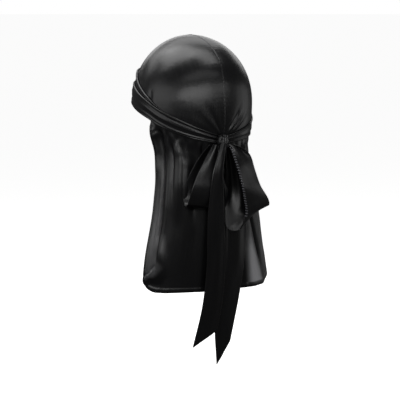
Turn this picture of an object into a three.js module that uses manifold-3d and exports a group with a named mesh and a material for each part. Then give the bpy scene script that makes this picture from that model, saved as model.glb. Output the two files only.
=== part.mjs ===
// A satin durag as it sits on a head, with its straps brought round the forehead and tied
// at the back in a bow. Millimetres, +Z up, the forehead towards -Y and the wearer's left
// towards +X. The origin is the inside of the crown's top, where the top of the head bears.
import * as THREE from "three";
import { mergeVertices } from "three/addons/utils/BufferGeometryUtils.js";
import Module from "manifold-3d";

const wasm = await Module();
wasm.setup();

// The head that fills the durag
const headLength = 196; // front to back, inside the crown
const headBreadth = 152; // side to side, inside the crown
const crownHeight = 90; // top of the head down to its widest level
const napeTuck = 0.2; // how fast the head draws in below that level
const headEgg = 0.07; // how much broader the head is at the back than at the front
const occiput = 8; // how far the back of the head stands out above its widest level

// Cloth
const satin = 1.2; // wall of one layer
const hemWall = 0.7; // what a turned hem adds to that wall
const clearance = 0.3; // gap between pieces that lie on each other
const wrapClearance = 0.5; // gap between the crown and what is wrapped round it

// Forehead band: the two straps, laid round the head
const napeDrop = 138; // top of the head down to the band's middle line at the knot
const bandWidth = 30; // the band where it lies nearly flat
const pleatHeight = 1.5; // how far the band's lengthwise pleats stand up
const crownTuck = 2; // how far the crown's edge reaches below the band's middle line
const edgeGap = 0.6; // between edges that meet under the band

// Front hem: the rolled edge that shows above the band
const hemRollWidth = 4.5;
const hemRollWall = 2.2;
const hemRollRise = 12; // how far it stands above the band at the forehead

// Centre seam of the crown
const seamWidth = 3;
const seamWall = 0.9;

// Folds that run over the crown from the knot
const crownFoldHeight = 2.6;
const crownFoldReach = 62;
const crownFoldOnset = 10; // length over which they rise from the band's edge

// Neck flap
const flapDrop = 345; // top of the head down to the flap's lower edge
const flapTilt = 3; // how much lower that edge hangs at its left corner
const flapTurn = THREE.MathUtils.degToRad(75); // how far round the head the flap reaches
const flapCorner = 17; // height of its rounded lower corners
const flapHang = 40; // below the band, where the flap has left the head and hangs free
const flapFoldHeight = 4;
const gatherHeight = 1.7;
const gatherLength = 22;
const gatherCount = 12;

// Knot and straps
const knotWidth = 15;
const knotHeight = 21;
const knotDepth = 15;
const knotShift = 4; // the knot sits this far to the wearer's left
const strapWidth = 50; // the strap laid flat
const loopBunch = 0.2; // share of the strap's width where a loop leaves the knot
const leftLoopLength = 90;
const rightLoopLength = 114;
const leftLoopPuff = 20; // the loop's depth from its front layer to its back layer
const rightLoopPuff = 36;
const leftEndLength = 278; // from the knot to the strap's tip
const rightEndLength = 305;
const leftEndCut = 22; // how much longer the slanted cut leaves one edge than the other
const rightEndCut = 32;

const halfTurn = Math.PI;
const mix = THREE.MathUtils.lerp;
const degrees = THREE.MathUtils.degToRad;
const vector = (x, y, z) => new THREE.Vector3(x, y, z);
const smooth = (t) => THREE.MathUtils.smoothstep(t, 0, 1);
const ridge = (distance, spread) => Math.exp(-((distance / spread) ** 2));

// The value of one column of a table at a place along it, on a smooth curve through its rows.
function along(rows, place, column, at) {
  let i = rows.findIndex((row) => row[place] > at) - 1;
  if (i < 0) i = at <= rows[0][place] ? 0 : rows.length - 2;
  const row = (k) => rows[THREE.MathUtils.clamp(k, 0, rows.length - 1)];
  const span = row(i + 1)[place] - row(i)[place];
  const slope = (k) =>
    (row(k + 1)[column] - row(k - 1)[column]) / (row(k + 1)[place] - row(k - 1)[place]);
  const t = THREE.MathUtils.clamp((at - row(i)[place]) / span, 0, 1);
  const rise = row(i + 1)[column] - row(i)[column];
  const start = slope(i) * span;
  const end = slope(i + 1) * span;
  return (
    row(i)[column] + t * start + t * t * (3 * rise - 2 * start - end) + t ** 3 * (start + end - 2 * rise)
  );
}

// Place on the head's surface. turn goes round the head from the back, the left side
// positive. tilt is the angle from the top, and lift moves the place off the surface.
function headPoint(turn, tilt, lift = 0) {
  const below = Math.max(0, tilt - halfTurn / 2);
  const upper = Math.min(tilt, halfTurn / 2);
  const girth = Math.sin(upper) - napeTuck * below ** 2;
  const halfBreadth = (headBreadth / 2) * (1 + headEgg * Math.cos(turn));
  const fullness = occiput * Math.max(0, Math.cos(turn)) ** 3 * Math.sin(2 * upper) ** 2;
  const point = new THREE.Vector3(
    halfBreadth * girth * Math.sin(turn),
    (headLength / 2) * girth * Math.cos(turn) + fullness,
    -crownHeight * (1 - Math.cos(upper) + below),
  );
  const outward = new THREE.Vector3(
    (Math.sin(upper) * Math.sin(turn)) / halfBreadth,
    (Math.sin(upper) * Math.cos(turn)) / (headLength / 2),
    Math.cos(upper) / crownHeight,
  );
  return point.addScaledVector(outward.normalize(), lift);
}

// The tilt at which the head's surface lies this far below its top.
const tiltAt = (drop) =>
  drop < crownHeight ? Math.acos(1 - drop / crownHeight) : halfTurn / 2 + drop / crownHeight - 1;

// Course of the band round the head, by turn in degrees: how far its middle line lies below
// the top of the head as a share of the drop at the knot, and its width as a share of the band's.
const bandRows = [
  { turn: -180, drop: 0.55, width: 1 },
  { turn: -124, drop: 0.615, width: 0.95 },
  { turn: -90, drop: 0.73, width: 0.85 },
  { turn: -56, drop: 0.89, width: 0.76 },
  { turn: -40, drop: 0.925, width: 0.66 },
  { turn: -25, drop: 0.957, width: 0.53 },
  { turn: 0, drop: 1, width: 0.38 },
  { turn: 23, drop: 0.95, width: 0.55 },
  { turn: 42, drop: 0.884, width: 0.72 },
  { turn: 65, drop: 0.788, width: 0.79 },
  { turn: 78, drop: 0.722, width: 0.83 },
  { turn: 106, drop: 0.616, width: 0.97 },
  { turn: 124, drop: 0.575, width: 1 },
  { turn: 180, drop: 0.55, width: 1 },
];
const bandPlace = (turn) => THREE.MathUtils.radToDeg(Math.atan2(Math.sin(turn), Math.cos(turn)));
const bandDrop = (turn) => napeDrop * along(bandRows, "turn", "drop", bandPlace(turn));
const bandSpan = (turn) => bandWidth * along(bandRows, "turn", "width", bandPlace(turn));

// A wall of cloth as one closed body. at(u, v) is the side that faces the head, for u and v
// from 0 to 1, and the wall is built outwards from it. A pole closes the first row to a point.
function clothWall(at, columns, rows, wall = () => satin, pole = false) {
  const step = 0.002;
  const outward = (u, v) => {
    const across = at(Math.min(u + step, 1), v).sub(at(Math.max(u - step, 0), v));
    const down = at(u, Math.min(v + step, 1)).sub(at(u, Math.max(v - step, 0)));
    return across.cross(down).normalize();
  };
  const inner = [];
  const outer = [];
  const points = [];
  const add = (p) => points.push(p.x, p.y, p.z) / 3 - 1;
  for (let j = 0; j <= rows; j++) {
    for (let i = 0; i <= columns; i++) {
      if (pole && j === 0 && i > 0) {
        inner.push(inner[0]);
        outer.push(outer[0]);
        continue;
      }
      const [u, v] = [i / columns, j / rows];
      const p = at(u, v);
      inner.push(add(p));
      outer.push(add(p.clone().addScaledVector(outward(u, pole ? Math.max(v, step) : v), wall(u, v))));
    }
  }
  const faces = [];
  const tri = (a, b, c) => {
    if (a !== b && b !== c && c !== a) faces.push(a, b, c);
  };
  const quad = (a, b, c, d) => {
    tri(a, b, c);
    tri(a, c, d);
  };
  const index = (i, j) => j * (columns + 1) + i;
  for (let j = 0; j < rows; j++) {
    for (let i = 0; i < columns; i++) {
      const [a, b, c, d] = [index(i, j), index(i + 1, j), index(i + 1, j + 1), index(i, j + 1)];
      quad(outer[a], outer[b], outer[c], outer[d]);
      quad(inner[d], inner[c], inner[b], inner[a]);
    }
  }
  for (let i = 0; i < columns; i++) {
    const [a, b] = [index(i, 0), index(i + 1, 0)];
    if (!pole) quad(outer[b], outer[a], inner[a], inner[b]);
    const [c, d] = [index(i + 1, rows), index(i, rows)];
    quad(outer[d], outer[c], inner[c], inner[d]);
  }
  for (let j = 0; j < rows; j++) {
    const [a, b] = [index(0, j), index(0, j + 1)];
    quad(outer[a], outer[b], inner[b], inner[a]);
    const [c, d] = [index(columns, j), index(columns, j + 1)];
    quad(outer[d], outer[c], inner[c], inner[d]);
  }
  return new THREE.BufferGeometry()
    .setAttribute("position", new THREE.Float32BufferAttribute(points, 3))
    .setIndex(faces);
}

// Crown: two panels, each half a dome
const crownFolds = [
  { bearing: 42, height: 1.0, spread: 6 },
  { bearing: 58, height: 0.8, spread: 6 },
  { bearing: 76, height: 0.5, spread: 6 },
  { bearing: -38, height: 0.45, spread: 9 },
  { bearing: -62, height: 0.35, spread: 8 },
];

// How far the folds that run up from the knot lift the crown. bearing 0 is straight up.
function crownFoldLift(turn, drop) {
  const [right, up] = [(-turn * headBreadth) / 2, napeDrop - drop];
  const distance = Math.hypot(right, up);
  const bearing = THREE.MathUtils.radToDeg(Math.atan2(right, up));
  const clearOfBand = smooth((bandDrop(turn) - bandSpan(turn) / 2 - drop) / crownFoldOnset);
  const fade = clearOfBand * (1 - smooth(distance / crownFoldReach));
  const folds = crownFolds.map((f) => f.height * ridge(bearing - f.bearing, f.spread));
  return crownFoldHeight * fade * folds.reduce((sum, height) => sum + height, 0);
}

// One panel: side is 1 for the left one and -1 for the right one.
function crownPanel(side) {
  const [columns, rows, rowsUnderBand] = [22, 13, 2];
  const at = (u, v) => {
    const turn = side > 0 ? u * halfTurn : (u - 1) * halfTurn;
    const bandTop = tiltAt(bandDrop(turn) - bandSpan(turn) / 2);
    const edge = tiltAt(bandDrop(turn) + crownTuck);
    const shown = 1 - rowsUnderBand / rows;
    const tilt = v < shown ? (v / shown) * bandTop : mix(bandTop, edge, (v - shown) / (1 - shown));
    const drop = -headPoint(turn, tilt).z;
    const point = headPoint(turn, tilt, crownFoldLift(turn, drop));
    point.x += (side * clearance * Math.abs(Math.cos(turn))) / 2;
    return point;
  };
  return clothWall(at, columns, rows, () => satin, true);
}

// A strip along the crown's middle line, from the front hem over the top to the knot
function centreSeam() {
  const hemTop = bandDrop(halfTurn) - bandSpan(halfTurn) / 2 - hemRollRise - hemRollWidth;
  const front = tiltAt(hemTop - clearance - edgeGap);
  const back = tiltAt(bandDrop(0) - bandSpan(0) / 2 - edgeGap);
  const at = (u, v) => {
    const tilt = mix(-front, back, v);
    const point = headPoint(tilt < 0 ? halfTurn : 0, Math.abs(tilt), satin + clearance);
    point.x = (u - 0.5) * seamWidth;
    return point;
  };
  return clothWall(at, 2, 32, (u) => seamWall * (u === 0.5 ? 1 : 0.45));
}

// Band round the forehead, from the knot's left side to its right side
const bandPleats = [
  { at: 0.1, height: 0.7, spread: 0.09 },
  { at: 0.42, height: 0.9, spread: 0.12 },
  { at: 0.68, height: 0.45, spread: 0.08 },
  { at: 0.9, height: 0.6, spread: 0.1 },
];

function foreheadBand() {
  const knotTurn = degrees(1);
  const lift = satin + wrapClearance;
  const at = (u, v) => {
    const turn = mix(knotTurn, 2 * halfTurn - knotTurn, u);
    return headPoint(turn, tiltAt(bandDrop(turn) + (v - 0.5) * bandSpan(turn)), lift);
  };
  const wall = (u, v) =>
    satin + pleatHeight * bandPleats.reduce((sum, p) => sum + p.height * ridge(v - p.at, p.spread), 0);
  return clothWall(at, 48, 7, wall);
}

// Rolled hem that leaves the band beside the temple and rises over the forehead
function frontHem() {
  const startTurn = degrees(62);
  const grown = (u) => 0.3 + 0.7 * smooth(Math.sin(u * halfTurn) * 4);
  const at = (u, v) => {
    const turn = mix(startTurn, 2 * halfTurn - startTurn, u);
    const rise = hemRollRise * smooth(Math.sin(u * halfTurn) * 1.15);
    const lower = bandDrop(turn) - bandSpan(turn) / 2 - clearance - rise;
    return headPoint(turn, tiltAt(lower - (1 - v) * hemRollWidth * grown(u)), satin + wrapClearance);
  };
  return clothWall(at, 36, 3, (u, v) => hemRollWall * (0.35 + 0.65 * grown(u) * Math.sin(v * halfTurn)));
}

// Neck flap: plan of the cloth at shares of its fall. half and back are its half width and
// how far back it hangs, as shares of the head's half breadth and half length, and side is
// how far back its free edges stand.
const flapSections = [
  { fall: 0, half: 0.93, back: 0.93, side: 0.24 },
  { fall: 0.2, half: 0.87, back: 0.9, side: 0.28 },
  { fall: 0.5, half: 0.97, back: 0.88, side: 0.34 },
  { fall: 0.8, half: 1.15, back: 0.87, side: 0.4 },
  { fall: 1, half: 1.24, back: 0.86, side: 0.44 },
];

// Its folds. top and foot are where a fold starts and ends across the flap, from -1 at the
// right edge to 1 at the left edge; from and to are shares of the fall.
const flapFolds = [
  { top: 0.93, foot: 0.95, from: 0, to: 1, spread: 0.06, height: 0.45 },
  { top: 0.81, foot: 0.78, from: 0, to: 0.9, spread: 0.05, height: -1 },
  { top: 0.63, foot: 0.66, from: 0.03, to: 0.6, spread: 0.1, height: 0.8 },
  { top: 0.44, foot: 0.36, from: 0, to: 0.7, spread: 0.07, height: -0.75 },
  { top: 0.6, foot: 0.62, from: 0.5, to: 1, spread: 0.12, height: 0.5 },
  { top: 0.12, foot: 0.18, from: 0.3, to: 1, spread: 0.09, height: 0.55 },
  { top: -0.2, foot: -0.24, from: 0.1, to: 1, spread: 0.07, height: -0.6 },
  { top: -0.42, foot: -0.5, from: 0, to: 1, spread: 0.09, height: 0.9 },
  { top: -0.6, foot: -0.82, from: 0.1, to: 1, spread: 0.06, height: -0.95 },
  { top: -0.8, foot: -0.95, from: 0.05, to: 1, spread: 0.07, height: 0.7 },
];

function flapPlan(turn, fall) {
  const half = (headBreadth / 2) * along(flapSections, "fall", "half", fall);
  const back = (headLength / 2) * along(flapSections, "fall", "back", fall);
  const side = (headLength / 2) * along(flapSections, "fall", "side", fall);
  const depth = (Math.cos(turn) - Math.cos(flapTurn)) / (1 - Math.cos(flapTurn));
  return new THREE.Vector2((half * Math.sin(turn)) / Math.sin(flapTurn), mix(side, back, depth));
}

function flapFoldLift(across, fall) {
  const folds = flapFolds.map((f) => {
    const ends = smooth((fall - f.from) / 0.12 + 0.2) * (f.to < 1 ? smooth((f.to - fall) / 0.3) : 1);
    return f.height * ends * ridge(across - mix(f.top, f.foot, fall), f.spread);
  });
  return flapFoldHeight * folds.reduce((sum, height) => sum + height, 0);
}

function neckFlap() {
  const [columns, rows, rowsUnderBand] = [48, 15, 2];
  const at = (u, v) => {
    const across = 2 * u - 1;
    const turn = across * flapTurn;
    const top = bandDrop(turn) + crownTuck + edgeGap;
    const bandFoot = bandDrop(turn) + bandSpan(turn) / 2;
    const corner = 1 - Math.sqrt(1 - Math.max(0, (Math.abs(across) - 0.72) / 0.28) ** 2);
    const foot = flapDrop + flapTilt * across - flapCorner * corner;
    const under = rowsUnderBand / rows;
    const drop = v < under
      ? mix(top, bandFoot, v / under)
      : mix(bandFoot, foot, (v - under) / (1 - under));
    const fall = THREE.MathUtils.clamp((drop - bandFoot) / (flapDrop - bandFoot), 0, 1);
    const plan = flapPlan(turn, fall);
    const away = flapPlan(turn + 0.01, fall).sub(flapPlan(turn - 0.01, fall)).normalize();
    const below = Math.max(0, drop - bandFoot);
    const gathers = Math.sin(across * gatherCount * halfTurn) * ridge(below, gatherLength);
    const lift = smooth((4 * below) / flapHang) * (flapFoldLift(across, fall) + gatherHeight * gathers);
    const head = headPoint(turn, tiltAt(Math.min(drop, bandFoot + flapHang)));
    const hang = smooth(below / flapHang);
    return new THREE.Vector3(
      mix(head.x, plan.x, hang) - away.y * lift,
      mix(head.y, plan.y, hang) + away.x * lift,
      -drop,
    );
  };
  const sideHem = (u, v) => v > (rowsUnderBand + 0.5) / rows && Math.abs(u - 0.5) > 0.5 - 0.5 / columns;
  const hem = (u, v) => (v > 1 - 1.5 / rows || sideHem(u, v) ? hemWall : 0);
  return clothWall(at, columns, rows, (u, v) => satin + hem(u, v));
}

// Knot
const knotSize = vector(knotWidth, knotDepth, knotHeight);
const knotSeat = headPoint(0, tiltAt(napeDrop), satin + wrapClearance);
const knotCentre = new THREE.Vector3(knotShift, knotSeat.y + knotDepth / 2, -napeDrop - knotHeight * 0.15);

// The knot's outside: a rounded block, grown by margin, with grooves where it is wrapped.
function knotShape(margin, groove) {
  const shape = new THREE.SphereGeometry(1, 20, 12);
  const position = shape.getAttribute("position");
  for (let i = 0; i < position.count; i++) {
    const p = new THREE.Vector3().fromBufferAttribute(position, i);
    const square = 1 / (Math.abs(p.x) ** 3 + Math.abs(p.y) ** 3 + Math.abs(p.z) ** 3) ** (1 / 3);
    const wrap = 1 - groove * Math.cos(p.x * 3 * halfTurn) ** 2 * (1 - p.x ** 2);
    position.setXYZ(
      i,
      p.x * square * (knotWidth / 2 + margin),
      p.y * square * wrap * (knotDepth / 2 + margin),
      p.z * square * wrap * (knotHeight / 2 + margin),
    );
  }
  shape.deleteAttribute("normal");
  shape.deleteAttribute("uv");
  return shape.translate(knotCentre.x, knotCentre.y, knotCentre.z);
}

// Bow loops: the strap runs down from the knot, turns and comes back up behind. start is
// where it leaves the knot, from its middle, as shares of its size, down the way it hangs,
// across the way its width lies at the knot and at the turn, and open the way in which its
// layers stand apart.
const roundness = (sine) => Math.sign(sine) * Math.abs(sine) ** 0.8;

function bowLoop({ length, puff, start, down, across, open, pleats }) {
  const at = (u, v) => {
    const round = mix(0.05, 0.95, v) * 2 * halfTurn;
    const fall = (1 - Math.cos(round)) / 2;
    const width = strapWidth * mix(loopBunch, 1, fall ** 0.75);
    const apart = 2 * satin * Math.cos(round / 2) + (puff / 2) * roundness(Math.sin(round)) * fall ** 0.7;
    const crease = Math.cos((u - 0.5) * 2 * halfTurn * pleats) * satin * (1 - fall) ** 1.5;
    const way = vector(0, 1, 0).lerp(open, smooth(fall * 2));
    const point = start.clone().multiply(knotSize).add(knotCentre).addScaledVector(down, length * fall);
    point.addScaledVector(across[0].clone().lerp(across[1], smooth(fall * 1.6)), (u - 0.5) * width);
    return point.addScaledVector(way, apart + crease * Math.sign(Math.cos(round / 2)));
  };
  return clothWall(at, 8, 20);
}

const leftLoop = {
  length: leftLoopLength,
  puff: leftLoopPuff,
  start: vector(0.4, 0.03, 0),
  down: vector(0.344, 0, -0.939),
  across: [vector(0.6, 0, 0.8), vector(0.98, 0, 0.19)],
  open: vector(0, 1, 0),
  pleats: 2,
};
const rightLoop = {
  length: rightLoopLength,
  puff: rightLoopPuff,
  start: vector(-0.27, 0.2, 0.05),
  down: vector(-0.3, 0.07, -0.951),
  across: [vector(0.5, 0, -0.86), vector(0.88, 0.32, -0.35)],
  open: vector(-0.6, 0.78, 0.1),
  pleats: 2,
};

// Strap ends: rows down the strap, with how far it hangs to the left of the knot and behind
// it as shares of the strap's width, its width as a share of the same, how it turns, and how
// deeply it is folded along its middle.
const leftEndRows = [
  { fall: 0, left: 0.05, out: 0.12, width: 0.15, turn: 0, crease: 0.02 },
  { fall: 0.06, left: 0.12, out: 0.26, width: 0.2, turn: 0, crease: 0.03 },
  { fall: 0.16, left: 0.22, out: 0.33, width: 0.3, turn: -4, crease: 0.05 },
  { fall: 0.35, left: 0.28, out: 0.28, width: 0.44, turn: -8, crease: 0.08 },
  { fall: 0.6, left: 0.27, out: 0.15, width: 0.52, turn: -10, crease: 0.08 },
  { fall: 0.8, left: 0.35, out: 0.06, width: 0.62, turn: -6, crease: 0.06 },
  { fall: 1, left: 0.56, out: 0, width: 0.76, turn: 0, crease: 0.04 },
];
const rightEndRows = [
  { fall: 0, left: -0.02, out: -0.08, width: 0.15, turn: 0, crease: -0.02 },
  { fall: 0.06, left: -0.06, out: -0.18, width: 0.2, turn: 0, crease: -0.02 },
  { fall: 0.16, left: -0.24, out: -0.23, width: 0.36, turn: 4, crease: -0.02 },
  { fall: 0.35, left: -0.44, out: -0.22, width: 0.62, turn: 6, crease: 0.02 },
  { fall: 0.6, left: -0.37, out: -0.14, width: 0.63, turn: 6, crease: 0.06 },
  { fall: 0.8, left: -0.18, out: -0.12, width: 0.72, turn: 2, crease: 0.07 },
  { fall: 1, left: -0.07, out: -0.12, width: 0.41, turn: 0, crease: 0.03 },
];

function strapEnd(rows, length, cut) {
  const at = (u, v) => {
    const share = (column) => strapWidth * along(rows, "fall", column, v);
    const turn = degrees(along(rows, "fall", "turn", v));
    const across = (u - 0.5) * share("width");
    const fold = share("crease") * Math.cos((u - 0.5) * 3 * halfTurn);
    return vector(
      knotCentre.x + share("left") + across * Math.cos(turn) - fold * Math.sin(turn),
      knotCentre.y + share("out") + across * Math.sin(turn) + fold * Math.cos(turn),
      knotCentre.z - v * (length - cut * (1 - u)),
    );
  };
  return clothWall(at, 6, 18);
}

// A copy of a geometry as a solid, and a solid as a geometry again
function solidOf(geometry) {
  const vertProperties = Float32Array.from(geometry.getAttribute("position").array);
  return new wasm.Manifold(
    new wasm.Mesh({ numProp: 3, vertProperties, triVerts: Uint32Array.from(geometry.index.array) }),
  );
}

function geometryOf(solid) {
  const { vertProperties, triVerts } = solid.getMesh();
  return new THREE.BufferGeometry()
    .setAttribute("position", new THREE.BufferAttribute(vertProperties, 3))
    .setIndex(new THREE.BufferAttribute(triVerts, 1));
}

// What runs into the knot stops at its outside, with the clearance around it.
const knotCutter = solidOf(mergeVertices(knotShape(clearance, 0), 1e-3));
const intoKnot = (geometry) => geometryOf(solidOf(geometry).subtract(knotCutter));

// Finishes
const satinFront = { color: 0x121214, roughness: 0.38, metalness: 0 };
const satinEdge = { color: 0x0d0d0f, roughness: 0.45, metalness: 0 };

const durag = new THREE.Group();
function addPiece(name, geometry, finish) {
  const mesh = new THREE.Mesh(geometry, new THREE.MeshStandardMaterial(finish));
  mesh.name = name;
  durag.add(mesh);
}

addPiece("crown_left_panel", crownPanel(1), satinFront);
addPiece("crown_right_panel", crownPanel(-1), satinFront);
addPiece("crown_centre_seam", centreSeam(), satinEdge);
addPiece("front_hem", frontHem(), satinEdge);
addPiece("forehead_band", intoKnot(foreheadBand()), satinFront);
addPiece("neck_flap", neckFlap(), satinFront);
addPiece("knot", knotShape(0, 0.05), satinFront);
addPiece("bow_loop_left", intoKnot(bowLoop(leftLoop)), satinFront);
addPiece("bow_loop_right", intoKnot(bowLoop(rightLoop)), satinFront);
addPiece("strap_end_left", intoKnot(strapEnd(leftEndRows, leftEndLength, leftEndCut)), satinFront);
addPiece("strap_end_right", intoKnot(strapEnd(rightEndRows, rightEndLength, rightEndCut)), satinFront);

export default durag;
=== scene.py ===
# A black satin durag in its worn form. The cloth is laid out on grids that functions fold into
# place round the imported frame, in metres: +Z up, the forehead towards -Y, the wearer's left
# towards +X. The origin is where the top of the head bears.
import math
from collections import namedtuple

import bmesh
import bpy
from mathutils import Matrix, Vector


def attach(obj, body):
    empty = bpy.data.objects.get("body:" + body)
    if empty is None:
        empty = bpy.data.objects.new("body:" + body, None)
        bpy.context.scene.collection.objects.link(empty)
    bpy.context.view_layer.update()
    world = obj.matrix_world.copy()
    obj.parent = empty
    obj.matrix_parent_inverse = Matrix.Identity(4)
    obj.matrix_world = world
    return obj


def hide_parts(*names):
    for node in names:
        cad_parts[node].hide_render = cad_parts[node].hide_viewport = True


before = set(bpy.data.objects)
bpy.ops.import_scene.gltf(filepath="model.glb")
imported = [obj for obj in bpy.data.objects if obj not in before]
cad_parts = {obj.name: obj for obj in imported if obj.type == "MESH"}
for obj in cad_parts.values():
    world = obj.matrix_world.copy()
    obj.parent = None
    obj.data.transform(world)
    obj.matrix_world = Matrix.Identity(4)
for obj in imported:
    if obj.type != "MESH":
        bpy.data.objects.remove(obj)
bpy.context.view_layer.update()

MM = 0.001

# The head that fills the durag
HEAD_LENGTH = 196 * MM
HEAD_BREADTH = 152 * MM
CROWN_HEIGHT = 90 * MM
NAPE_TUCK = 0.2
HEAD_EGG = 0.07
OCCIPUT = 8 * MM

# Cloth. WALL is how far its outside lies off its inside in the frame's solids, SATIN is the
# thickness that shows at an edge, and HEM_SLOPE is how wide the step down from a hem is.
WALL = 1.2 * MM
SATIN = 0.7 * MM
CLEARANCE = 0.3 * MM
WRAP_CLEARANCE = 0.5 * MM
HEM_SLOPE = 1.5 * MM
MERGE_DISTANCE = 0.01 * MM

# Band round the forehead, and the hem that shows above it
NAPE_DROP = 138 * MM
BAND_WIDTH = 30 * MM
BAND_LENGTH = 560 * MM
PLEAT_HEIGHT = 1.3 * MM
BAND_RIPPLE = 0.12 * MM
BAND_SINK = 0.5 * MM
BAND_OPENING = math.radians(0.5)
CROWN_TUCK = 2 * MM
EDGE_GAP = 0.6 * MM
HEM_ROLL_WIDTH = 4.5 * MM
HEM_ROLL_LENGTH = 420 * MM
HEM_ROLL_WALL = 2.2 * MM
HEM_ROLL_CLOTH = 1.6 * HEM_ROLL_WIDTH
HEM_ROLL_RISE = 12 * MM
HEM_ROLL_TURN = math.radians(62)

# Crown
SEAM_WIDTH = 3 * MM
SEAM_LENGTH = 330 * MM
SEAM_RISE = 0.7 * MM
SEAM_SINK = 0.2 * MM
SEAM_WAVER = 0.25 * MM
SEAM_WAVER_LENGTH = 14 * MM
CROWN_FOLD_HEIGHT = 3.0 * MM
CROWN_FOLD_REACH = 62 * MM
CROWN_FOLD_ONSET = 10 * MM

# Neck flap
FLAP_DROP = 345 * MM
FLAP_TILT = 3 * MM
FLAP_TURN = math.radians(75)
FLAP_WIDTH = 250 * MM
FLAP_LENGTH = 220 * MM
FLAP_HEM = 6.5 * MM
FLAP_HEM_RISE = 0.5 * MM
FLAP_EDGE = 0.9 * MM
FLAP_CORNER = 17 * MM
FLAP_CORNER_PLACE = 0.72
FLAP_UNDER_BAND = 0.06
FLAP_HANG = 40 * MM
FLAP_SWING = 7 * MM
FLAP_FLARE = 3 * MM
FLAP_BULGE = 5 * MM
FLAP_BULGE_PLACE = 0.35
FLAP_FOLD_HEIGHT = 5 * MM
FLAP_UNEVENNESS = 0.4 * MM
GATHER_HEIGHT = 1.5 * MM
GATHER_LENGTH = 17 * MM
GATHER_COUNT = 8

# Knot and straps
KNOT_WIDTH = 15 * MM
KNOT_DEPTH = 15 * MM
KNOT_HEIGHT = 21 * MM
KNOT_SHIFT = 4 * MM
STRAP_WIDTH = 50 * MM
STRAP_HEM = 5 * MM
STRAP_HEM_RISE = 0.3 * MM
STRAP_EDGE = 0.8 * MM
STRAP_EDGE_DEPTH = 0.6 * MM
STRAP_UNEVENNESS = 0.5 * MM
FOLD_RADIUS = 0.8 * MM
LOOP_PLEAT = 2.4 * MM
LEFT_LOOP_LENGTH = 190 * MM
RIGHT_LOOP_LENGTH = 220 * MM
LEFT_END_LENGTH = 278 * MM
RIGHT_END_LENGTH = 305 * MM
LEFT_END_CUT = 22 * MM
RIGHT_END_CUT = 32 * MM

# Stitches. The real ones are about 3.2 mm apart and finer. They are drawn coarser and further
# apart, so that they show as points in a small picture.
STITCH_PITCH = 3.8 * MM
STITCH_SIZE = Vector((2.3, 1.0, 1.7)) * MM
STITCH_STEPS = 400

# Grids that the cloth is laid out on: columns, then rows
CROWN_GRID = (80, 100)
SEAM_GRID = (8, 200)
BAND_GRID = (260, 32)
HEM_ROLL_GRID = (200, 8)
FLAP_GRID = (250, 185)
LOOP_GRID = (30, 140)
END_GRID = (42, 130)

HALF_TURN = math.pi


def mix(a, b, t):
    return a + (b - a) * t


def clamp(value, low=0.0, high=1.0):
    return min(max(value, low), high)


def smooth(t):
    t = clamp(t)
    return t * t * (3 - 2 * t)


def ridge(distance, spread):
    return math.exp(-((distance / spread) ** 2))


def ripple(place, seed):
    """A slow, uneven wave from -1 to 1, for the small unevenness of soft cloth."""
    waves = ((1.0, 0.5, 1.3), (1.7, 0.3, 4.1), (2.9, 0.2, 2.2))
    return sum(share * math.sin(place * rate + start * seed) for rate, share, start in waves)


def along(rows, column, at):
    """One column of a table at a place in its first column, on a smooth curve through its rows."""
    k = next((i for i, row in enumerate(rows) if row[0] > at), len(rows)) - 1
    k = clamp(k, 0, len(rows) - 2)
    column = rows[0]._fields.index(column)
    near = [rows[clamp(i, 0, len(rows) - 1)] for i in range(k - 1, k + 3)]
    span = near[2][0] - near[1][0]
    t = clamp((at - near[1][0]) / span)
    start = (near[2][column] - near[0][column]) / (near[2][0] - near[0][0]) * span
    end = (near[3][column] - near[1][column]) / (near[3][0] - near[1][0]) * span
    rise = near[2][column] - near[1][column]
    return (near[1][column] + t * start + t * t * (3 * rise - 2 * start - end)
            + t**3 * (start + end - 2 * rise))


# Shape of the head


def head_point(turn, tilt, lift=0.0):
    """A place on the head. turn goes round from the back, the left side positive."""
    below = max(0.0, tilt - HALF_TURN / 2)
    upper = min(tilt, HALF_TURN / 2)
    girth = math.sin(upper) - NAPE_TUCK * below**2
    half_breadth = HEAD_BREADTH / 2 * (1 + HEAD_EGG * math.cos(turn))
    fullness = OCCIPUT * max(0.0, math.cos(turn)) ** 3 * math.sin(2 * upper) ** 2
    point = Vector((
        half_breadth * girth * math.sin(turn),
        HEAD_LENGTH / 2 * girth * math.cos(turn) + fullness,
        -CROWN_HEIGHT * (1 - math.cos(upper) + below),
    ))
    outward = Vector((
        math.sin(upper) * math.sin(turn) / half_breadth,
        math.sin(upper) * math.cos(turn) / (HEAD_LENGTH / 2),
        math.cos(upper) / CROWN_HEIGHT,
    ))
    return point + outward.normalized() * lift


def tilt_at(drop):
    """The tilt at which the head lies this far below its top."""
    if drop < CROWN_HEIGHT:
        return math.acos(1 - drop / CROWN_HEIGHT)
    return HALF_TURN / 2 + drop / CROWN_HEIGHT - 1


# Course of the band round the head, by turn in degrees: how far its middle line lies below the
# top of the head as a share of the drop at the knot, and its width as a share of the band's.
BandRow = namedtuple("BandRow", "turn drop width")
BAND_ROWS = [
    BandRow(-180, 0.55, 1),
    BandRow(-124, 0.615, 0.95),
    BandRow(-90, 0.73, 0.85),
    BandRow(-56, 0.89, 0.76),
    BandRow(-40, 0.925, 0.66),
    BandRow(-25, 0.957, 0.53),
    BandRow(0, 1, 0.38),
    BandRow(23, 0.95, 0.55),
    BandRow(42, 0.884, 0.72),
    BandRow(65, 0.788, 0.79),
    BandRow(78, 0.722, 0.83),
    BandRow(106, 0.616, 0.97),
    BandRow(124, 0.575, 1),
    BandRow(180, 0.55, 1),
]


def band_place(turn):
    return math.degrees(math.atan2(math.sin(turn), math.cos(turn)))


def band_drop(turn):
    return NAPE_DROP * along(BAND_ROWS, "drop", band_place(turn))


def band_span(turn):
    return BAND_WIDTH * along(BAND_ROWS, "width", band_place(turn))


# Laying out cloth


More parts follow.
